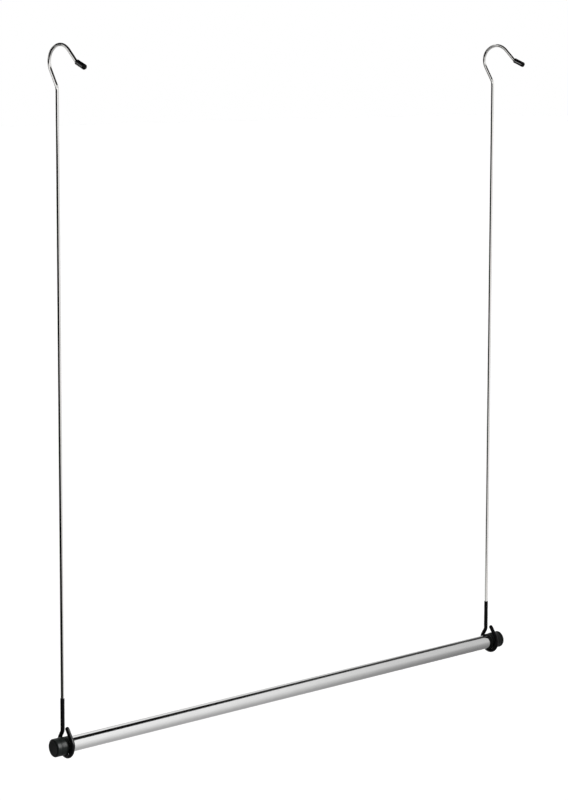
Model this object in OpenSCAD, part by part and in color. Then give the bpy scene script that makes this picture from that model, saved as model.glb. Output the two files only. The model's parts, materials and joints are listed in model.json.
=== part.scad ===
// Hanging closet rail (double-hang bar).
// A round rail with a moulded plug in each end hangs in the bottom loops of two
// identical wire hangers. Each hanger hooks over a closet rod, and its loop turns
// freely on the neck of the plug.
// Millimetres. +X runs along the rail, -Y is the side the hooks open to, +Z is up.
// The origin is on the closet rod's axis, halfway between the two hangers.

/* [Overall] */
// Distance between the two hangers, centre of wire to centre of wire
hanger_spacing = 760; // [500:10:1000]
// Height of the closet rod's axis above the hanging rail's axis
drop = 879; // [400:1:1200]
// Diameter of the closet rod that the hooks sit on
closet_rod_d = 33; // [25:0.5:34]

/* [Rail tube] */
// Outer diameter of the rail tube
tube_d = 20; // [19:0.5:21.5]
// Wall thickness of the rail tube
tube_wall = 1; // [0.8:0.1:1.5]
// Chamfer on the tube's outer and inner edges at each end
tube_edge = 0.3; // [0.1:0.05:0.35]

/* [End plugs] */
// Diameter of the knob outside the loop
knob_d = 23.6; // [23:0.1:24.5]
// Length of the knob
knob_length = 16.8; // [10:0.2:25]
// Rounding of the knob's outer edge
knob_round = 2.2; // [1:0.1:4]
// Rounding of the edges that face the loop
lip_round = 0.8; // [0.4:0.1:1]
// Diameter of the collar between the tube's end and the loop
collar_d = 22.6; // [22.5:0.1:24]
// Length of the collar
collar_length = 3.4; // [2:0.2:9]
// Diameter of the neck that turns in the loop
neck_d = 22; // [21.5:0.1:22.2]
// Length of the part that is pressed into the tube
insert_length = 24; // [15:1:40]
// Number of crush ribs round the insert
rib_count = 8; // [4:1:12]

/* [Hanger wire] */
// Diameter of the bare wire
wire_d = 4.5; // [4:0.1:5]
// Distance of the straight stem behind the rail's axis
stem_y = 8; // [7:0.1:9]
// Radius of the hook's top, to the wire's centre
hook_top_r = 30; // [29:0.5:32]
// Radius of the hook's back, to the wire's centre
hook_back_r = 19; // [18:0.5:20]
// Angle above level at which the back curve meets the top curve
hook_blend = 52; // [48:1:56]
// Lean of the straight that joins the stem to the hook's back
hook_lean = 34; // [30:1:38]
// Bend radius between the stem and that straight
lean_bend_r = 14; // [10:1:18]
// Slope of the hook's front straight below level
front_slope = 40; // [36:1:48]
// Length of the hook's front straight
front_length = 20; // [14:1:26]
// Slope of the turned-out end below level
end_slope = 20; // [10:1:25]
// Bend radius of the turned-out end
end_bend_r = 9; // [6:1:14]
// Length of bare wire inside the tip cap
end_length = 14.5; // [10:0.5:16]

/* [Loop and sleeve] */
// Outer diameter of the vinyl sleeve over the loop
sleeve_d = 5.6; // [5.4:0.1:5.8]
// Height of the sleeve's top edge above the rail's axis
sleeve_top = 60; // [45:1:90]
// Radius of the loop, to the wire's centre
loop_r = 15.4; // [15.2:0.1:16]
// Lean of the loop's back leg from upright
back_leg_lean = 33; // [30:1:36]
// Bend radius between the stem and the back leg
back_bend_r = 9; // [6:0.5:10]
// Lean of the loop's front leg from upright
front_leg_lean = 38; // [35:1:40]
// Length of the loop's free front leg
front_leg_length = 14.6; // [11:0.1:16]

/* [Tip cap] */
// Outer diameter of the vinyl cap on the hook's end
cap_d = 7.2; // [6.6:0.1:8]
// Length of the cap
cap_length = 18.5; // [17.5:0.5:22]
// Rounding of the cap's closed end
cap_round = 1.4; // [0.5:0.1:2]

/* [Fits] */
// Gap between the loop and the neck it hangs on
loop_gap = 0.3; // [0.2:0.05:0.5]
// Gap on each side of the loop, to the collar and to the knob
side_gap = 0.4; // [0.3:0.05:0.6]
// Radial gap between the wire and the vinyl on it
vinyl_gap = 0.01; // [0.01:0.01:0.05]

/* [Hidden] */
$fn = 96;

chrome = [0.80, 0.81, 0.83];
black = [0.05, 0.05, 0.055];

half = hanger_spacing / 2;
nick = 0.05;                                // end gap of each length of rod
bead_over = 0.02;                           // a bead's diameter over its rod's
loop_half = sleeve_d / 2 + side_gap;        // half the width of the groove for the loop
tube_half = half - loop_half - collar_length; // half the tube's length
knob_in = loop_half;                        // knob's inner face, outward from the loop
knob_out = loop_half + knob_length;         // knob's outer face

// Hook, in the hanger's own plane as [Y, Z] with the closet rod's axis at [0, 0].
top_c = [0, closet_rod_d / 2 + wire_d / 2 - hook_top_r];
back_c = top_c + (hook_top_r - hook_back_r) * [cos(hook_blend), sin(hook_blend)];
back_low = back_c + hook_back_r * [cos(hook_lean), -sin(hook_lean)];
lean_dir = [sin(hook_lean), cos(hook_lean)];
knee = back_low - (back_low[0] - stem_y) / sin(hook_lean) * lean_dir;
knee_cut = lean_bend_r * tan(hook_lean / 2);
knee_c = [stem_y + lean_bend_r, knee[1] - knee_cut];
front_top = top_c + hook_top_r * [-sin(front_slope), cos(front_slope)];
front_dir = [-cos(front_slope), -sin(front_slope)];
front_low = front_top + front_length * front_dir;
end_c = front_low + end_bend_r * [-sin(front_slope), cos(front_slope)];
end_top = end_c + end_bend_r * [sin(end_slope), -cos(end_slope)];
end_dir = [-cos(end_slope), -sin(end_slope)];

// Loop, in the same plane with the rail's axis at [0, 0]. The loop's bottom
// carries the neck, so the loop's centre stands a little above the rail's axis.
loop_c = [0, loop_r - sleeve_d / 2 - neck_d / 2 - loop_gap];
back_dir = [sin(back_leg_lean), -cos(back_leg_lean)];
back_touch = loop_c + loop_r * [cos(back_leg_lean), sin(back_leg_lean)];
bend = back_touch - (back_touch[0] - stem_y) / sin(back_leg_lean) * back_dir;
bend_cut = back_bend_r * tan(back_leg_lean / 2);
bend_c = [stem_y + back_bend_r, bend[1] + bend_cut];
stem_low = ceil(bend_c[1]) + 1;
front_touch = loop_c + loop_r * [-cos(front_leg_lean), sin(front_leg_lean)];
tip = front_touch + front_leg_length * [sin(front_leg_lean), cos(front_leg_lean)];

// ---- helpers ----

// Straight rod of diameter d from p to q, both [Y, Z], less a nick at each end
// for the bead that joins it to the next length.
module rod(p, q, d) {
    run = q - p;
    translate([0, p[0], p[1]])
        rotate([-atan2(run[0], run[1]), 0, 0])
            translate([0, 0, nick])
                cylinder(h = norm(run) - 2 * nick, d = d);
}

// Bent rod of diameter d round centre c [Y, Z], from angle a to angle b, nicked
// in the same way. Angles turn from +Y towards +Z.
module bow(c, r, a, b, d) {
    cut = nick / r * 180 / PI;
    translate([0, c[0], c[1]])
        rotate([90, 0, 90])
            rotate([0, 0, a + cut])
                rotate_extrude(angle = b - a - 2 * cut)
                    translate([r, 0]) circle(d = d);
}

// Beads of a hair more than diameter d that join the lengths at points [Y, Z].
module beads(points, d)
    for (p = points)
        translate([0, p[0], p[1]]) sphere(d = d + bead_over);

// The hook, from height low on the stem to the end of the wire.
module hook_path(d, low) {
    knee_low = [stem_y, knee_c[1]];
    knee_high = knee + knee_cut * lean_dir;
    blend = back_c + hook_back_r * [cos(hook_blend), sin(hook_blend)];
    rod([stem_y, low], knee_low, d);
    bow(knee_c, lean_bend_r, 180 - hook_lean, 180, d);
    rod(knee_high, back_low, d);
    bow(back_c, hook_back_r, -hook_lean, hook_blend, d);
    bow(top_c, hook_top_r, hook_blend, 90 + front_slope, d);
    rod(front_top, front_low, d);
    bow(end_c, end_bend_r, -90 + end_slope, -90 + front_slope, d);
    rod(end_top, end_top + end_length * end_dir, d);
    beads([knee_low, knee_high, back_low, blend, front_top, front_low, end_top], d);
}

// The loop round the rail's axis, from height top on the stem to a point on the
// front leg that stops short of its end by cut.
module loop_path(d, top, cut) {
    bend_high = [stem_y, bend_c[1]];
    bend_low = bend + bend_cut * back_dir;
    rod(bend_high, [stem_y, top], d);
    bow(bend_c, back_bend_r, 180, 180 + back_leg_lean, d);
    rod(bend_low, back_touch, d);
    bow(loop_c, loop_r, -180 - front_leg_lean, back_leg_lean, d);
    rod(front_touch, tip - cut * [sin(front_leg_lean), cos(front_leg_lean)], d);
    beads([bend_high, bend_low, back_touch, front_touch], d);
}

// One bent hanger wire.
module wire() {
    hook_path(wire_d, -drop + stem_low);
    translate([0, 0, -drop]) {
        loop_path(wire_d, stem_low, 1);
        beads([[stem_y, stem_low]], wire_d);
    }
}

// Vinyl sleeve over the loop, closed and rounded at the free tip.
module loop_sleeve()
    translate([0, 0, -drop])
        difference() {
            union() {
                loop_path(sleeve_d, sleeve_top, 0);
                beads([tip], sleeve_d);
            }
            loop_path(wire_d + 2 * vinyl_gap, sleeve_top + 1, 1 - vinyl_gap);
        }

// Vinyl cap pushed on the hook's turned-out end.
module tip_cap() {
    start = end_top + 0.4 * end_dir;
    bore = end_length - 0.4 + vinyl_gap;
    translate([0, start[0], start[1]])
        rotate([90 + end_slope, 0, 0])
            rotate_extrude()
                difference() {
                    union() {
                        square([cap_d / 2, cap_length - cap_round]);
                        square([cap_d / 2 - cap_round, cap_length]);
                        translate([cap_d / 2 - cap_round, cap_length - cap_round]) circle(r = cap_round);
                    }
                    translate([-1, -1]) square([wire_d / 2 + vinyl_gap + 1, bore + 1]);
                    translate([-cap_d, -1]) square([cap_d, cap_length + 2]);
                }
}

// One end plug, seen along +Z: the loop's middle at 0, the knob above it and the
// insert that goes into the tube below it.
module end_plug() {
    seat = -loop_half - collar_length;
    core_r = tube_d / 2 - tube_wall - 0.6;
    difference() {
        union() {
            rotate_extrude() {
                // knob
                translate([0, knob_in]) {
                    square([knob_d / 2 - lip_round, knob_length - knob_round]);
                    translate([0, lip_round])
                        square([knob_d / 2, knob_length - lip_round - knob_round]);
                    square([knob_d / 2 - knob_round, knob_length]);
                }
                intersection() {
                    union() {
                        translate([knob_d / 2 - knob_round, knob_out - knob_round])
                            circle(r = knob_round);
                        translate([knob_d / 2 - lip_round, knob_in + lip_round])
                            circle(r = lip_round);
                    }
                    square([knob_d, knob_out]);
                }
                // neck
                translate([0, -loop_half - 1]) square([neck_d / 2, 2 * loop_half + 2]);
                // collar
                translate([0, seat]) {
                    square([collar_d / 2, collar_length - lip_round]);
                    square([collar_d / 2 - lip_round, collar_length]);
                    translate([collar_d / 2 - lip_round, collar_length - lip_round])
                        circle(r = lip_round);
                }
                // insert, with a lead-in chamfer
                polygon([
                    [0, seat + 1], [core_r, seat + 1], [core_r, seat - insert_length + 1.5],
                    [core_r - 1, seat - insert_length], [0, seat - insert_length]
                ]);
            }
            // crush ribs
            intersection() {
                for (i = [0 : rib_count - 1])
                    rotate([0, 0, i * 360 / rib_count])
                        translate([core_r - 1, -0.6, seat - insert_length + 2])
                            cube([3, 1.2, insert_length - 2]);
                translate([0, 0, seat - insert_length])
                    cylinder(h = insert_length, d = tube_d - 2 * tube_wall - 0.02);
            }
        }
        // coring hole from the inner end
        translate([0, 0, seat - insert_length - 1])
            cylinder(h = insert_length, r = core_r - 2);
    }
}

// ---- sub-parts ----

module rail_tube()
    color(chrome)
        translate([-tube_half, 0, -drop])
            rotate([90, 0, 90])
                rotate_extrude() {
                    ro = tube_d / 2;
                    ri = ro - tube_wall;
                    polygon([
                        [ri + tube_edge, 0], [ro - tube_edge, 0], [ro, tube_edge],
                        [ro, 2 * tube_half - tube_edge], [ro - tube_edge, 2 * tube_half],
                        [ri + tube_edge, 2 * tube_half], [ri, 2 * tube_half - tube_edge],
                        [ri, tube_edge]
                    ]);
                }

module left_end_plug()
    color(black) translate([-half, 0, -drop]) rotate([0, -90, 0]) end_plug();

module right_end_plug()
    color(black) translate([half, 0, -drop]) rotate([0, 90, 0]) end_plug();

module left_wire()
    color(chrome) translate([-half, 0, 0]) wire();

module right_wire()
    color(chrome) translate([half, 0, 0]) wire();

module left_loop_sleeve()
    color(black) translate([-half, 0, 0]) loop_sleeve();

module right_loop_sleeve()
    color(black) translate([half, 0, 0]) loop_sleeve();

module left_tip_cap()
    color(black) translate([-half, 0, 0]) tip_cap();

module right_tip_cap()
    color(black) translate([half, 0, 0]) tip_cap();

rail_tube();
left_end_plug();
right_end_plug();
left_wire();
right_wire();
left_loop_sleeve();
right_loop_sleeve();
left_tip_cap();
right_tip_cap();
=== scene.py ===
"""Looks of the hanging closet rail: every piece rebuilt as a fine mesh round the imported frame."""

import json
import math

import bpy
from mathutils import Matrix, Vector

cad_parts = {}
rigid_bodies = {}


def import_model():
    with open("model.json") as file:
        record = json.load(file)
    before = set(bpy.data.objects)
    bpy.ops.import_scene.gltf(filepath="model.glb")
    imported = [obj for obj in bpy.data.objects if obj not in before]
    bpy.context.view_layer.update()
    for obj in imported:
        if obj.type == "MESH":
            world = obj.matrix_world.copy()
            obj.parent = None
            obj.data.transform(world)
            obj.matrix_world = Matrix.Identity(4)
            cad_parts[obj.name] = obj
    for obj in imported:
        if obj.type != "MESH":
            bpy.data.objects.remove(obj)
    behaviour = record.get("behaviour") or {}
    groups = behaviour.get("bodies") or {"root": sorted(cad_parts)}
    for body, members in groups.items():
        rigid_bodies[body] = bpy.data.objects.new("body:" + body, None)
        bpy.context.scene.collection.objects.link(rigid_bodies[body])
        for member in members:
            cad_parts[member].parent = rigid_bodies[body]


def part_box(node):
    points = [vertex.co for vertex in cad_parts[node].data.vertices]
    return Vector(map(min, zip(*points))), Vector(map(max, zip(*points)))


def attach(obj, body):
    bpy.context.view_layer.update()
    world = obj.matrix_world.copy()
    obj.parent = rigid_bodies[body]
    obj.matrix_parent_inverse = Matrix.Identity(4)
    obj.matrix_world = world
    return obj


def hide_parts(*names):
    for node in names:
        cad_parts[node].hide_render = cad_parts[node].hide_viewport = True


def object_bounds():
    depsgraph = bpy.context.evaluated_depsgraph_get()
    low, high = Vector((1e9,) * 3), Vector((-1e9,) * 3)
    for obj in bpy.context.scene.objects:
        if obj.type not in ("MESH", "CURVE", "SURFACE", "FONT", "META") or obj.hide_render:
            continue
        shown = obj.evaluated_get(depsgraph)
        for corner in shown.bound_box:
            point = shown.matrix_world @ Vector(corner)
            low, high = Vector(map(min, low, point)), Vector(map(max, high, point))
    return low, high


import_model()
CAD_LO, CAD_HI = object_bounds()

MM = 0.001

# ---------------------------------------------------------------- places from the frame

wire_lo, wire_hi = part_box("left_wire")
right_lo, right_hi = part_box("right_wire")
tube_lo, tube_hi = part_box("rail_tube")
sleeve_lo, sleeve_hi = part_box("left_loop_sleeve")
plug_lo, plug_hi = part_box("left_end_plug")

WIRE_R = (wire_hi.x - wire_lo.x) / 2
SLEEVE_R = (sleeve_hi.x - sleeve_lo.x) / 2
TUBE_R = (tube_hi.y - tube_lo.y) / 2
TUBE_HALF = (tube_hi.x - tube_lo.x) / 2
AXIS_Z = (tube_hi.z + tube_lo.z) / 2
KNOB_R = (plug_hi.y - plug_lo.y) / 2
LEFT_X = (wire_lo.x + wire_hi.x) / 2
RIGHT_X = (right_lo.x + right_hi.x) / 2
KNOB_END = LEFT_X - plug_lo.x
HOOK_TOP = wire_hi.z
HANGERS = (("left", LEFT_X), ("right", RIGHT_X))

# ---------------------------------------------------------------- sizes, angles in degrees

# hook
STEM_Y = 8 * MM
TOP_R, BACK_R, BLEND = 30 * MM, 19 * MM, 52
LEAN, KNEE_R = 34, 14 * MM
FRONT_SLOPE, FRONT_LEN = 40, 20 * MM
END_SLOPE, END_R, END_LEN = 20, 9 * MM, 14.5 * MM

# loop
LOOP_R, BACK_LEAN, BEND_R = 15.4 * MM, 33, 9 * MM
FRONT_LEAN, FRONT_LEG = 38, 14.6 * MM

# vinyl: BORE_R is its inside, a little off the wire
BORE_R = WIRE_R + 0.03 * MM
SLEEVE_TOP, WIRE_SHORT = 60 * MM, 1 * MM
CAP_START, CAP_LEN, CAP_R, CAP_ROUND = 0.4 * MM, 18.5 * MM, 3.6 * MM, 1.4 * MM

# tube and plugs
TUBE_WALL, TUBE_EDGE = 1.0 * MM, 0.45 * MM
CORE_R = TUBE_R - 1.6 * MM
NECK_R, LOOP_GAP, SIDE_GAP = 11 * MM, 0.3 * MM, 0.4 * MM
COLLAR_R, COLLAR_ROUND = 11.3 * MM, 0.25 * MM
LIP_ROUND, KNOB_ROUND = 0.8 * MM, 2.2 * MM

# how closely the wire's straight lengths and arcs are divided
STEM_STEP, HOOK_STEP, LOOP_STEP, ARC_STEP = 0.02, 0.004, 0.002, 1.5

# ---------------------------------------------------------------- paths in the hanger's plane


def polar(angle):
    """Unit vector (Y, Z) at an angle from +Y towards +Z."""
    return Vector((math.cos(math.radians(angle)), math.sin(math.radians(angle))))


def bend_length(r, angle):
    """What a bend of radius r through an angle takes off the straight on each side of it."""
    return r * math.tan(math.radians(angle / 2))


class Path:
    """Points (Y, Z) with tangents, made of straight lengths and arcs."""

    def __init__(self):
        self.points = []

    def add(self, p, t):
        if self.points and (self.points[-1][0] - p).length < 1e-7:
            return
        self.points.append((p.copy(), t.normalized()))

    def line(self, a, b, step):
        n = max(1, math.ceil((b - a).length / step))
        for i in range(n + 1):
            self.add(a.lerp(b, i / n), b - a)

    def arc(self, centre, r, a0, a1):
        n = max(2, math.ceil(abs(a1 - a0) / ARC_STEP))
        turn = 1 if a1 > a0 else -1
        for i in range(n + 1):
            a = a0 + (a1 - a0) * i / n
            self.add(centre + r * polar(a), turn * polar(a + 90))

    def along(self):
        """The points and tangents, each with its distance along the path."""
        out, s = [], 0.0
        for i, (p, t) in enumerate(self.points):
            if i:
                s += (p - self.points[i - 1][0]).length
            out.append((p, t, s))
        return out


# hook, measured from the closet rod's axis
top_c = Vector((0, HOOK_TOP - WIRE_R - TOP_R))
back_c = top_c + (TOP_R - BACK_R) * polar(BLEND)
back_low = back_c + BACK_R * polar(-LEAN)
lean_dir = polar(90 - LEAN)
knee = back_low - (back_low.x - STEM_Y) / lean_dir.x * lean_dir
knee_cut = bend_length(KNEE_R, LEAN)
knee_c = Vector((STEM_Y + KNEE_R, knee.y - knee_cut))
front_top = top_c + TOP_R * polar(90 + FRONT_SLOPE)
front_low = front_top + FRONT_LEN * polar(180 + FRONT_SLOPE)
end_c = front_low + END_R * polar(90 + FRONT_SLOPE)
end_dir = polar(180 + END_SLOPE)
end_top = end_c + END_R * polar(-90 + END_SLOPE)

# loop, measured from the rail's axis: its bottom is under the plug's neck
loop_c = Vector((0, AXIS_Z + LOOP_R - SLEEVE_R - NECK_R - LOOP_GAP))
back_dir = polar(BACK_LEAN - 90)
back_touch = loop_c + LOOP_R * polar(BACK_LEAN)
bend = back_touch - (back_touch.x - STEM_Y) / back_dir.x * back_dir
bend_cut = bend_length(BEND_R, BACK_LEAN)
bend_c = Vector((STEM_Y + BEND_R, bend.y + bend_cut))
front_touch = loop_c + LOOP_R * polar(180 - FRONT_LEAN)
leg_dir = polar(90 - FRONT_LEAN)
tip = front_touch + FRONT_LEG * leg_dir


def loop_path(path, top, cut):
    """Adds the stem below the height top and the loop, which ends cut short of its leg's tip."""
    path.line(Vector((STEM_Y, top)), Vector((STEM_Y, bend_c.y)), STEM_STEP)
    path.arc(bend_c, BEND_R, 180, 180 + BACK_LEAN)
    path.line(bend + bend_cut * back_dir, back_touch, LOOP_STEP)
    path.arc(loop_c, LOOP_R, BACK_LEAN, -180 - FRONT_LEAN)
    path.line(front_touch, tip - cut * leg_dir, LOOP_STEP)
    return path


def wire_path():
    """The whole wire, from its end inside the cap to its end inside the sleeve."""
    path = Path()
    path.line(end_top + END_LEN * end_dir, end_top, HOOK_STEP)
    path.arc(end_c, END_R, -90 + END_SLOPE, -90 + FRONT_SLOPE)
    path.line(front_low, front_top, HOOK_STEP)
    path.arc(top_c, TOP_R, 90 + FRONT_SLOPE, BLEND)
    path.arc(back_c, BACK_R, BLEND, -LEAN)
    path.line(back_low, knee + knee_cut * lean_dir, HOOK_STEP)
    path.arc(knee_c, KNEE_R, 180 - LEAN, 180)
    return loop_path(path, knee_c.y, WIRE_SHORT)


# ---------------------------------------------------------------- mesh helpers


def new_object(name, verts, faces, uvs=None):
    """A smooth mesh. uvs are one per vertex: the distance along and the part of a turn round."""
    mesh = bpy.data.meshes.new(name)
    mesh.from_pydata(verts, [], faces)
    mesh.validate()
    if uvs is not None:
        layer = mesh.uv_layers.new(name="UVMap")
        for poly in mesh.polygons:
            # a face between the last and the first part of a turn closes at a full turn
            turns = [uvs[mesh.loops[i].vertex_index][1] for i in poly.loop_indices]
            wrap = max(turns) - min(turns) > 0.5
            for i in poly.loop_indices:
                u, v = uvs[mesh.loops[i].vertex_index]
                layer.data[i].uv = (u, v + 1 if wrap and v < 0.5 else v)
    for poly in mesh.polygons:
        poly.use_smooth = True
    mesh.update()
    obj = bpy.data.objects.new(name, mesh)
    bpy.context.scene.collection.objects.link(obj)
    return obj


def skin(name, rings, seg, flip):
    """Surface over rings of (place, radius, distance along). A radius of 0 closes that end.

    place(c, d) is the point that is c across and d up from the ring's centre. flip turns
    the faces over, for rings that run round the other way."""
    verts, faces, uvs, rows = [], [], [], []
    for place, r, s in rings:
        first = len(verts)
        if r <= 1e-7:
            verts.append(place(0, 0))
            uvs.append((s, 0.5))
        else:
            for k in range(seg):
                a = 2 * math.pi * k / seg
                verts.append(place(r * math.cos(a), r * math.sin(a)))
                uvs.append((s, k / seg))
        rows.append(range(first, len(verts)))
    for a, b in zip(rows, rows[1:]):
        for k in range(seg):
            n = (k + 1) % seg
            if len(a) == 1:
                face = (a[0], b[n], b[k])
            elif len(b) == 1:
                face = (a[k], a[n], b[0])
            else:
                face = (a[k], a[n], b[n], b[k])
            faces.append((face[0], *reversed(face[1:])) if flip else face)
    return new_object(name, verts, faces, uvs)


def sweep(name, x, rings, seg):
    """A round rod in the plane at x. rings: (point, tangent, radius, distance along)."""

    def placer(p, t):
        across, up = Vector((1, 0, 0)), Vector((0, -t.y, t.x))

        def place(c, d):
            off = c * across + d * up
            return (x + off.x, p.x + off.y, p.y + off.z)

        return place

    return skin(name, [(placer(p, t), r, s) for p, t, r, s in rings], seg, flip=False)


def lathe(name, profile, x, way, seg):
    """A body turned about the rail's axis. profile: (distance from x, radius).

    way is 1 or -1: which way the distances run along X."""
    origin = Vector((x, 0, AXIS_Z))

    def placer(h):
        return lambda c, d: (origin.x + way * h, origin.y + c, origin.z + way * d)

    rings, s = [], 0.0
    for i, (h, r) in enumerate(profile):
        if i:
            s += math.hypot(h - profile[i - 1][0], r - profile[i - 1][1])
        rings.append((placer(h), r, s))
    return skin(name, rings, seg, flip=True)


def fillet(h, r, size, start, end, steps):
    """Points of a rounded edge: centre (h, r), angles from the axis direction towards outward."""
    out = []
    for i in range(steps + 1):
        a = math.radians(start + (end - start) * i / steps)
        out.append((h + size * math.cos(a), r + size * math.sin(a)))
    return out


def offsets(h, r, *steps):
    """Points of a profile, each given in millimetres from (h, r)."""
    return [(h + dh * MM, r + dr * MM) for dh, dr in steps]


# ---------------------------------------------------------------- materials


class Nodes:
    """A short way to write node trees."""

    def __init__(self, tree):
        self.tree = tree
        self.tree.nodes.clear()

    def new(self, kind):
        return self.tree.nodes.new(kind)

    def link(self, a, b):
        self.tree.links.new(a, b)

    def value(self, node, name, value):
        socket = node.inputs[name]
        if isinstance(value, bpy.types.NodeSocket):
            self.link(value, socket)
        else:
            socket.default_value = value

    def math(self, op, a, b=0.0, c=0.0, clamp=False):
        node = self.new("ShaderNodeMath")
        node.operation, node.use_clamp = op, clamp
        for i, v in enumerate((a, b, c)):
            self.value(node, i, v)
        return node.outputs[0]

    def times(self, a, b):
        return self.math("MULTIPLY", a, b)

    def plus(self, a, b):
        return self.math("ADD", a, b)

    def less(self, a, b):
        """a, faded out where b is 1."""
        return self.times(a, self.math("SUBTRACT", 1.0, b))

    def step(self, value, low, high):
        """0 up to low, 1 from high on, and smooth between them."""
        node = self.new("ShaderNodeMapRange")
        node.interpolation_type = "SMOOTHSTEP"
        self.link(value, node.inputs[0])
        node.inputs[1].default_value, node.inputs[2].default_value = low, high
        return node.outputs[0]

    def band(self, value, rise, fall):
        """1 between two smooth steps, each given as (low, high)."""
        return self.less(self.step(value, *rise), self.step(value, *fall))

    def noise(self, vector, scale, detail, rough):
        node = self.new("ShaderNodeTexNoise")
        self.value(node, "Vector", vector)
        self.value(node, "Scale", scale)
        self.value(node, "Detail", detail)
        self.value(node, "Roughness", rough)
        return node.outputs["Fac"]

    def ramp(self, fac, stops):
        node = self.new("ShaderNodeValToRGB")
        self.link(fac, node.inputs[0])
        ramp = node.color_ramp
        while len(ramp.elements) < len(stops):
            ramp.elements.new(0.5)
        for element, (pos, colour) in zip(ramp.elements, stops):
            element.position = pos
            element.color = (*colour, 1)
        return node.outputs[0]

    def curve(self, value, low, high, stops):
        """Levels of up to 2 at places from low to high. stops: (place, level)."""
        span = [((p - low) / (high - low), (v / 2,) * 3) for p, v in stops]
        unit = self.math("DIVIDE", self.math("SUBTRACT", value, low), high - low, clamp=True)
        return self.times(self.ramp(unit, span), 2.0)

    def scaled(self, vector, scale):
        node = self.new("ShaderNodeMapping")
        self.link(vector, node.inputs["Vector"])
        node.inputs["Scale"].default_value = scale
        return node.outputs[0]

    def around(self):
        """Coordinates that run along the piece in metres and close up round it."""
        uv = self.new("ShaderNodeUVMap")
        uv.uv_map = "UVMap"
        split = self.new("ShaderNodeSeparateXYZ")
        self.link(uv.outputs[0], split.inputs[0])
        angle = self.times(split.outputs[1], 2 * math.pi)
        join = self.new("ShaderNodeCombineXYZ")
        self.link(split.outputs[0], join.inputs[0])
        self.link(self.math("COSINE", angle), join.inputs[1])
        self.link(self.math("SINE", angle), join.inputs[2])
        return join.outputs[0]

    def bump(self, height, strength, distance, normal=None):
        node = self.new("ShaderNodeBump")
        node.inputs["Strength"].default_value = strength
        node.inputs["Distance"].default_value = distance
        self.link(height, node.inputs["Height"])
        if normal is not None:
            self.link(normal, node.inputs["Normal"])
        return node.outputs[0]


def material(name):
    mat = bpy.data.materials.new(name)
    mat.use_nodes = True
    n = Nodes(mat.node_tree)
    shader = n.new("ShaderNodeBsdfPrincipled")
    n.link(shader.outputs[0], n.new("ShaderNodeOutputMaterial").inputs[0])
    return mat, n, shader


def chrome(name, colour, rough, lines, line_depth, tint):
    """Polished chrome plate: faint draw lines along the piece, slow patches in the polish.

    lines sets how fine the draw lines are, tint darkens the patches."""
    mat, n, s = material(name)
    s.inputs["Metallic"].default_value = 1.0
    place = n.around()
    draw = n.noise(n.scaled(place, (3.0, lines, lines)), 1.0, 4.0, 0.6)
    patch = n.noise(n.scaled(place, (35.0, 1.5, 1.5)), 1.0, 3.0, 0.5)
    haze = n.noise(n.scaled(place, (400.0, 6.0, 6.0)), 1.0, 2.0, 0.5)
    mix = n.plus(n.times(patch, 0.6), n.times(draw, 0.4))
    dark = tuple(c * t for c, t in zip(colour, tint))
    n.link(n.ramp(mix, [(0.3, dark), (0.7, colour)]), s.inputs["Base Color"])
    # the haze and the draw lines both move the roughness to either side of rough
    grain = n.math("MULTIPLY_ADD", haze, 0.02, rough - 0.01)
    grain = n.math("MULTIPLY_ADD", draw, 0.03, n.math("SUBTRACT", grain, 0.015))
    n.link(grain, s.inputs["Roughness"])
    n.link(n.bump(draw, 0.35, line_depth), s.inputs["Normal"])
    return mat


def black(name, colour, rough, spec, grain_scale, grain_depth, high_spot_lift):
    """Moulded black plastic or vinyl: fine grain over slow unevenness.

    The last argument is how many times lighter the colour is on the high spots of the grain."""
    mat, n, s = material(name)
    s.inputs["Specular IOR Level"].default_value = spec
    coord = n.new("ShaderNodeTexCoord").outputs["Object"]
    fine = n.noise(coord, grain_scale, 3.0, 0.6)
    slow = n.noise(coord, grain_scale * 0.06, 2.0, 0.5)
    mix = n.plus(n.times(fine, 0.35), n.times(slow, 0.65))
    # the colour is lighter on the high spots of the fine grain and of the slow unevenness
    light = tuple(c * high_spot_lift for c in colour)
    n.link(n.ramp(mix, [(0.35, colour), (0.68, light)]), s.inputs["Base Color"])
    n.link(n.math("MULTIPLY_ADD", mix, 0.16, rough - 0.08), s.inputs["Roughness"])
    first = n.bump(slow, 0.25, grain_depth * 6)
    n.link(n.bump(fine, 0.5, grain_depth, first), s.inputs["Normal"])
    return mat


TUBE_CHROME = chrome(
    "tube_chrome", (0.845, 0.845, 0.842), rough=0.10, lines=9.0,
    line_depth=0.00002, tint=(0.93, 0.93, 0.93))
WIRE_CHROME = chrome(
    "wire_chrome", (0.865, 0.86, 0.85), rough=0.12, lines=5.0,
    line_depth=0.00001, tint=(0.92, 0.91, 0.89))
PLUG_BLACK = black(
    "plug_black", (0.0024, 0.0030, 0.0028), rough=0.34, spec=0.09,
    grain_scale=2600.0, grain_depth=0.00003, high_spot_lift=1.9)
VINYL_BLACK = black(
    "vinyl_black", (0.0014, 0.0014, 0.0016), rough=0.24, spec=0.09,
    grain_scale=1500.0, grain_depth=0.00002, high_spot_lift=1.7)


def dress(obj, mat, body, slot_name, *nodes):
    """Gives a piece its material and its body, and hides the nodes it stands for. slot_name is not
    used.
    """
    obj.data.materials.append(mat)
    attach(obj, body)
    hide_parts(*nodes)


# ---------------------------------------------------------------- the pieces


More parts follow.
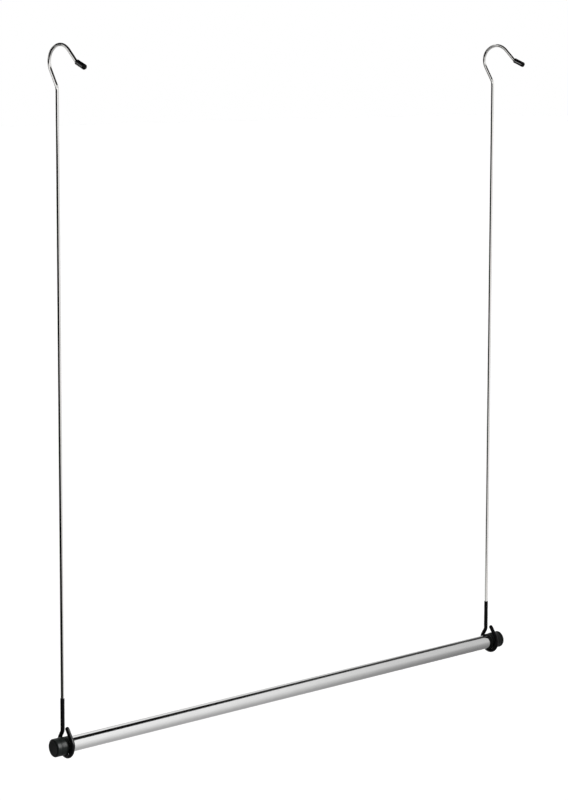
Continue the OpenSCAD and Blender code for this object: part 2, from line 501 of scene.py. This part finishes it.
def make_tube():
    """The tube, open right through, with rounded ends. Its outside is cut into even lengths."""
    straight, inside, lengths = 2 * MM, 40 * MM, 36
    inner, edge, end = TUBE_R - TUBE_WALL, TUBE_EDGE, TUBE_HALF
    run = 2 * end - 2 * straight
    ring = [(-end + inside, inner), (-end + edge, inner)]
    ring += fillet(-end + edge, inner + edge, edge, 270, 180, 5)
    ring += fillet(-end + edge, TUBE_R - edge, edge, 180, 90, 6)
    ring += [(-end + straight + run * i / lengths, TUBE_R) for i in range(lengths + 1)]
    ring += fillet(end - edge, TUBE_R - edge, edge, 90, 0, 6)
    ring += fillet(end - edge, inner + edge, edge, 0, -90, 5)
    ring += [(end - inside, inner), (-end + inside, inner)]
    return lathe("rail_tube_fine", ring, 0, 1, 160)


def make_plug(name, x, way):
    """A plug, from its insert to its knob. way is -1 on the left and 1 on the right."""
    groove = SLEEVE_R + SIDE_GAP
    seat = TUBE_HALF - abs(x)
    land_r = NECK_R + LOOP_GAP - 0.005 * MM
    seam = groove + (KNOB_END - groove) * 0.62
    round_start = KNOB_END - KNOB_ROUND
    flat = KNOB_R - KNOB_ROUND

    # insert, and collar against the tube's end
    profile = [(seat - 24 * MM, 0)]
    profile += offsets(seat, CORE_R, (-24, -1.2), (-22.5, 0), (-0.05, 0), (0, 0))
    profile += offsets(seat, COLLAR_R, (0, -0.35))
    profile += fillet(
        seat + COLLAR_ROUND, COLLAR_R - COLLAR_ROUND, COLLAR_ROUND, 180, 90, 4)
    profile += offsets(seat, COLLAR_R, (1, 0))
    profile += offsets(-groove - LIP_ROUND, COLLAR_R, (-0.6, 0))
    profile += offsets(-groove, COLLAR_R, (-0.3, -0.08))
    # neck: a low land carries the loop, so that no light comes through below it
    profile += offsets(-groove, NECK_R, (0, 0.02))
    profile += offsets(0, NECK_R, (-2.3, 0)) + offsets(0, land_r, (-1.9, -0.03), (-1.7, 0))
    profile += offsets(0, land_r, (1.7, 0), (1.9, -0.03)) + offsets(0, NECK_R, (2.3, 0))
    profile += offsets(groove, NECK_R, (0, 0.02))
    # knob: a fine step where the two halves of the mould meet
    profile += fillet(groove + LIP_ROUND, KNOB_R - LIP_ROUND, LIP_ROUND, 180, 90, 6)[2:]
    profile += offsets(groove + LIP_ROUND, KNOB_R, (0.8, 0))
    profile += offsets(seam, KNOB_R, (-0.12, 0), (0, -0.05), (0.12, -0.01))
    profile += offsets(round_start, KNOB_R, (-0.6, -0.01))
    profile += fillet(round_start, flat, KNOB_ROUND, 90, 0, 12)
    # its end face is dished
    profile += offsets(KNOB_END, flat, (0, -0.3), (-0.04, -0.8))
    profile += offsets(KNOB_END, 0, (-0.25, 3.0), (-0.27, 1.2), (-0.27, 0))
    return lathe(name, profile, x, way, 144)


def make_wire(name, x):
    """The wire, with a rounded end inside the cap."""
    path = wire_path().along()
    end_round, corner = 0.5 * MM, 4
    p, t, s = path[0]
    rings = [(p, t, 0, s)]
    for i in range(corner + 1):
        a = math.radians(90 * i / corner)
        back = t * end_round * (1 - math.cos(a))
        rings.append((p + back, t, WIRE_R - end_round * (1 - math.sin(a)), s))
    rings += [(p, t, WIRE_R, s) for p, t, s in path[1:]]
    p, t, s = path[-1]
    rings.append((p, t, 0, s))
    return sweep(name, x, rings, 48)


def make_sleeve(name, x):
    """The loop's sleeve: a rounded cut edge at the top, a slight swell and a round closed tip."""
    path = loop_path(Path(), AXIS_Z + SLEEVE_TOP, 0).along()
    lip, corner = 0.28 * MM, 6
    swell_size, fade_length = 0.03 * MM, 4 * MM
    r, tip_steps = SLEEVE_R - swell_size, 12
    total = path[-1][2]
    start, t0, _ = path[0]
    rings = [(start + t0 * depth * MM, t0, BORE_R, 0) for depth in (3, 0.5)]
    mid, half = (BORE_R + SLEEVE_R) / 2, (SLEEVE_R - BORE_R) / 2
    for i in range(corner + 1):
        a = math.radians(180 * i / corner)
        rings.append((start + t0 * lip * (1 - math.sin(a)), t0, mid - half * math.cos(a), lip))
    for p, t, s in path:
        if s > lip * 2:
            swell = swell_size * math.sin(s * 310.0) * math.sin(s * 97.0)
            fade = min(1.0, s / fade_length) * min(1.0, (total - s) / fade_length)
            rings.append((p, t, r + swell * fade, s))
    p, t, s = path[-1]
    for i in range(1, tip_steps + 1):
        a = math.radians(90 * i / tip_steps)
        rings.append((p + t * r * math.sin(a), t, r * math.cos(a), s + r * math.sin(a)))
    return sweep(name, x, rings, 48)


def make_cap(name, x):
    """The cap on the hook's end: a rolled rim, a slight waist behind it and a rounded end."""
    start = end_top + CAP_START * end_dir
    far, flat = CAP_LEN - CAP_ROUND, CAP_R - CAP_ROUND
    steps = offsets(0, BORE_R, (4, 0), (0.35, 0)) + offsets(0, WIRE_R, (0.06, 0.25))
    steps += offsets(0, CAP_R, (0, -0.5), (0.1, -0.18), (0.35, -0.02), (0.7, 0))
    steps += offsets(0, CAP_R, (1.3, -0.02), (2.0, -0.09), (2.8, -0.1), (6, -0.07), (11, -0.03))
    steps += offsets(far, CAP_R, (-0.8, 0))
    steps += fillet(far, flat, CAP_ROUND, 90, 0, 10)
    steps += offsets(CAP_LEN, flat, (0, -0.25)) + offsets(CAP_LEN, 0, (-0.05, 0.8), (-0.06, 0))
    rings = [(start + d * end_dir, end_dir, r, d) for d, r in steps]
    return sweep(name, x, rings, 56)


dress(make_tube(), TUBE_CHROME, "rail", "chrome_tube", "rail_tube")
for (side, x), way in zip(HANGERS, (-1, 1)):
    plug = side + "_end_plug"
    dress(make_plug(plug + "_fine", x, way), PLUG_BLACK, "rail", "black_plastic", plug)
for side, x in HANGERS:
    hanger, wire = side + "_hanger", side + "_wire"
    sleeve, cap = side + "_loop_sleeve", side + "_tip_cap"
    dress(make_wire(wire + "_fine", x), WIRE_CHROME, hanger, "chrome_wire", wire)
    dress(make_sleeve(sleeve + "_fine", x), VINYL_BLACK, hanger, "black_vinyl", sleeve)
    dress(make_cap(cap + "_fine", x), VINYL_BLACK, hanger, "black_vinyl", cap)

# ---------------------------------------------------------------- camera

scene = bpy.context.scene
scene.view_settings.view_transform = "Standard"
scene.view_settings.look = "None"

CAM_AZIMUTH, CAM_PITCH, CAM_ROLL = 38.88, 5.77, 0.136
CAM_PLACE = Vector((-1.7946, -2.1989, 0.0175))
CAM_LENS, CAM_SENSOR, CAM_SHIFT = 93.55, 36.0, -0.18

turn, tilt = math.radians(CAM_AZIMUTH), math.radians(CAM_PITCH)
look = Vector((
    math.sin(turn) * math.cos(tilt), math.cos(turn) * math.cos(tilt), -math.sin(tilt)))
roll = Matrix.Rotation(math.radians(CAM_ROLL), 4, "Z").to_quaternion()
cam_data = bpy.data.cameras.new("camera")
cam_data.lens, cam_data.sensor_width, cam_data.shift_y = CAM_LENS, CAM_SENSOR, CAM_SHIFT
cam_data.clip_start, cam_data.clip_end = 0.05, 200.0
camera = bpy.data.objects.new("camera", cam_data)
scene.collection.objects.link(camera)
camera.rotation_mode = "QUATERNION"
camera.location = CAM_PLACE
camera.rotation_quaternion = look.to_track_quat("-Z", "Y") @ roll
scene.camera = camera

# ---------------------------------------------------------------- reflection cards

CARD_BLACK, _, card_shader = material("card_black")
card_shader.inputs["Base Color"].default_value = (0.004, 0.004, 0.004, 1)
card_shader.inputs["Specular IOR Level"].default_value = 0.0
card_shader.inputs["Roughness"].default_value = 1.0


def make_card(name, centre, across, up):
    """A black card that only shows in reflections. across and up are its half sizes as vectors."""
    corners = (
        centre - across - up, centre + across - up, centre + across + up, centre - across + up)
    card = new_object(name, [tuple(c) for c in corners], [(0, 1, 2, 3)])
    card.data.materials.append(CARD_BLACK)
    card.visible_camera = card.visible_diffuse = card.visible_shadow = False
    card.visible_transmission = False


# level cards over the hooks, sized by their height: the left one lies further back
CARD_HEIGHT = 0.15
for (side, x), shift_back, depth in zip(HANGERS, (0.95, 0.05), (1.8, 0.9)):
    mid = Vector((x + 0.65 * CARD_HEIGHT, shift_back * CARD_HEIGHT, CARD_HEIGHT))
    across, up = Vector((1.7 * CARD_HEIGHT, 0, 0)), Vector((0, depth * CARD_HEIGHT, 0))
    make_card(side + "_hook_card", mid, across, up)

# an upright card to the left of the left stem
stem_side, stem_along = Vector((-0.974, -0.225, 0)), Vector((-0.225, 0.974, 0))
stem_mid = Vector((LEFT_X, 0, AXIS_Z + 0.29)) + 0.35 * stem_side
make_card("left_stem_card", stem_mid, 0.69 * stem_along, Vector((0, 0, 0.46)))

# a leaning card in front of the lower stem widens its dark stripe towards the rail
front_side, front_along = Vector((-0.047, -0.999, 0)), Vector((0.999, -0.047, 0))
low_mid = Vector((LEFT_X, STEM_Y, AXIS_Z + 0.229)) + 0.3 * front_side - 0.109 * front_along
low_across = 0.141 * front_along
make_card("left_stem_low_card", low_mid, low_across, Vector((0, 0, 0.30)) - low_across)

# ---------------------------------------------------------------- lights


def make_softbox(name, away, target, size, watts, lit_name, ends):
    """A round light at target + away that lights only the pieces whose names end so."""
    data = bpy.data.lights.new(name, "AREA")
    data.shape, data.size, data.energy = "DISK", size, watts
    light = bpy.data.objects.new(name, data)
    scene.collection.objects.link(light)
    light.location = target + away
    light.rotation_mode = "QUATERNION"
    light.rotation_quaternion = (target - (target + away)).to_track_quat("-Z", "Y")
    lit = bpy.data.collections.new(lit_name)
    for piece in bpy.data.objects:
        if piece.name.endswith(ends):
            lit.objects.link(piece)
    light.light_linking.receiver_collection = lit
    light.visible_camera = False


knob_mid = Vector((LEFT_X - 12 * MM, 0, AXIS_Z))
knob_away = 2.5 * Vector((0.505, -0.716, 0.478))
knob_ends = ("left_end_plug_fine", "left_loop_sleeve_fine")
make_softbox("knob_softbox", knob_away, knob_mid, 2.0, 250.0, "lit_knob", knob_ends)

cap_mid = Vector((RIGHT_X, *(end_top + 9 * MM * end_dir)))
cap_away = 1.5 * Vector((-0.74, 0.66, 0.11))
make_softbox("cap_softbox", cap_away, cap_mid, 0.3, 14.0, "lit_caps", ("cap_fine",))

# ---------------------------------------------------------------- room

# level directions: to the right in the picture, and towards the room's dark wall
RIGHT_DIR = Vector((math.cos(turn), -math.sin(turn), 0))
DARK_DIR = Vector((-0.906, 0.423, 0))

# brightness of the reflected room: by height, from left to right, and overhead by height
FRONT_LEVELS = [(-1.0, 0.42), (-0.84, 0.48), (-0.56, 0.66), (-0.36, 0.78), (-0.15, 0.88),
                (0.06, 0.98), (0.45, 1.04), (1.0, 1.07)]
SIDE_LEVELS = [(-1.0, 1.12), (0.3, 1.15), (0.5, 1.02), (0.6, 0.84), (0.68, 0.56),
               (0.76, 0.52), (0.86, 0.95), (1.0, 0.95)]
ROOF_LEVELS = [(0.0, 0.5), (0.3, 0.56), (0.6, 0.9), (1.0, 1.12)]
ROOF_LEFT = 1.05


def make_world():
    """A soft white room. Seen directly it is plain white. In reflections it is white overhead
    and in front, with a dark slot between the ceiling light and the right-hand wall, greyer
    towards the floor and the far right, and dark along the left and in bands behind it.

    x, y and z are those of the direction looked in, and every level is a share of white."""
    world = bpy.data.worlds.new("studio")
    scene.world = world
    world.use_nodes = True
    n = Nodes(world.node_tree)
    split = n.new("ShaderNodeSeparateXYZ")
    n.link(n.new("ShaderNodeTexCoord").outputs["Generated"], split.inputs[0])
    x, y, z = split.outputs

    def dot(v):
        return n.plus(n.times(x, v.x), n.times(y, v.y))

    flat_len = n.math("SQRT", n.plus(n.times(x, x), n.times(y, y)))
    flat_len = n.math("MAXIMUM", flat_len, 0.05)
    lateral = n.math("DIVIDE", dot(RIGHT_DIR), n.math("MAXIMUM", z, 0.02))
    facing = n.math("DIVIDE", dot(DARK_DIR), flat_len)
    back = n.math("DIVIDE", y, flat_len)
    right_half = n.step(x, -0.1, 0.1)

    # ceiling light, and the slot to the right of it, narrower and fainter at the far right
    above = n.step(z, 0.08, 0.25)
    slot_near = n.step(lateral, 0.21, 0.29)
    ceiling = n.less(above, slot_near)
    far_edge = n.math("MULTIPLY_ADD", n.step(x, 0.50, 0.64), 0.28, lateral)
    slot = n.less(n.times(slot_near, above), n.step(far_edge, 0.88, 0.94))
    slot = n.times(slot, n.step(z, 0.32, 0.42))
    slot = n.times(slot, n.math("MULTIPLY_ADD", n.step(x, 0.56, 0.68), -0.09, 0.995))

    # walls, and the roof
    front = n.curve(z, -1.0, 1.0, FRONT_LEVELS)
    side = n.curve(x, -1.0, 1.0, SIDE_LEVELS)
    low_right = n.less(n.step(x, 0.58, 0.68), n.step(z, -0.3, 0.3))
    low_right = n.less(low_right, n.step(x, 0.76, 0.84))
    roof_right = n.step(x, 0.0, 0.4)
    roof = n.times(n.curve(z, 0.0, 1.0, ROOF_LEVELS), roof_right)
    roof = n.plus(roof, n.less(ROOF_LEFT, roof_right))

    # dark wall on the left, dark bands behind it, and dark low down on the far left
    wall = n.less(n.step(facing, 0.06, 0.20), n.step(z, 0.12, 0.26))
    wall = n.times(wall, n.step(z, -0.38, -0.12))
    wall = n.less(wall, n.less(n.step(back, 0.875, 0.90), right_half))
    high_band = n.band(z, (0.05, 0.15), (0.48, 0.58))
    low_band = n.band(z, (-0.56, -0.50), (-0.36, -0.28))
    behind = n.less(n.step(back, 0.80, 0.83), right_half)
    behind = n.times(behind, n.math("MAXIMUM", high_band, low_band))
    low_left = n.less(n.band(z, (-0.95, -0.85), (-0.48, -0.38)), n.step(x, -0.35, -0.2))
    dark = n.math("MAXIMUM", wall, n.math("MAXIMUM", behind, n.times(low_left, 0.9)))

    level = n.times(n.less(front, n.times(low_right, 0.28)), side)
    level = n.plus(n.less(level, ceiling), n.times(ceiling, roof))
    level = n.less(n.less(level, slot), n.times(dark, 0.985))

    room = n.new("ShaderNodeBackground")
    n.link(level, room.inputs[0])
    white = n.new("ShaderNodeBackground")
    white.inputs[0].default_value = (1, 1, 1, 1)
    white.inputs[1].default_value = 1.0
    mix = n.new("ShaderNodeMixShader")
    n.link(n.new("ShaderNodeLightPath").outputs["Is Camera Ray"], mix.inputs[0])
    n.link(room.outputs[0], mix.inputs[1])
    n.link(white.outputs[0], mix.inputs[2])
    n.link(mix.outputs[0], n.new("ShaderNodeOutputWorld").inputs[0])


make_world()

# ---------------------------------------------------------------- floor

FLOOR_DROP, FLOOR_SIZE = 0.55, 60
bpy.ops.mesh.primitive_plane_add(size=FLOOR_SIZE, location=(0, 0, CAD_LO.z - FLOOR_DROP))
floor = bpy.context.object
floor.name = "floor"
floor_white, _, floor_shader = material("floor_white")
floor_shader.inputs["Base Color"].default_value = (0.9, 0.9, 0.9, 1)
floor_shader.inputs["Roughness"].default_value = 0.9
floor_shader.inputs["Emission Color"].default_value = (1, 1, 1, 1)
floor_shader.inputs["Emission Strength"].default_value = 0.34
floor.data.materials.append(floor_white)
floor.visible_glossy = False
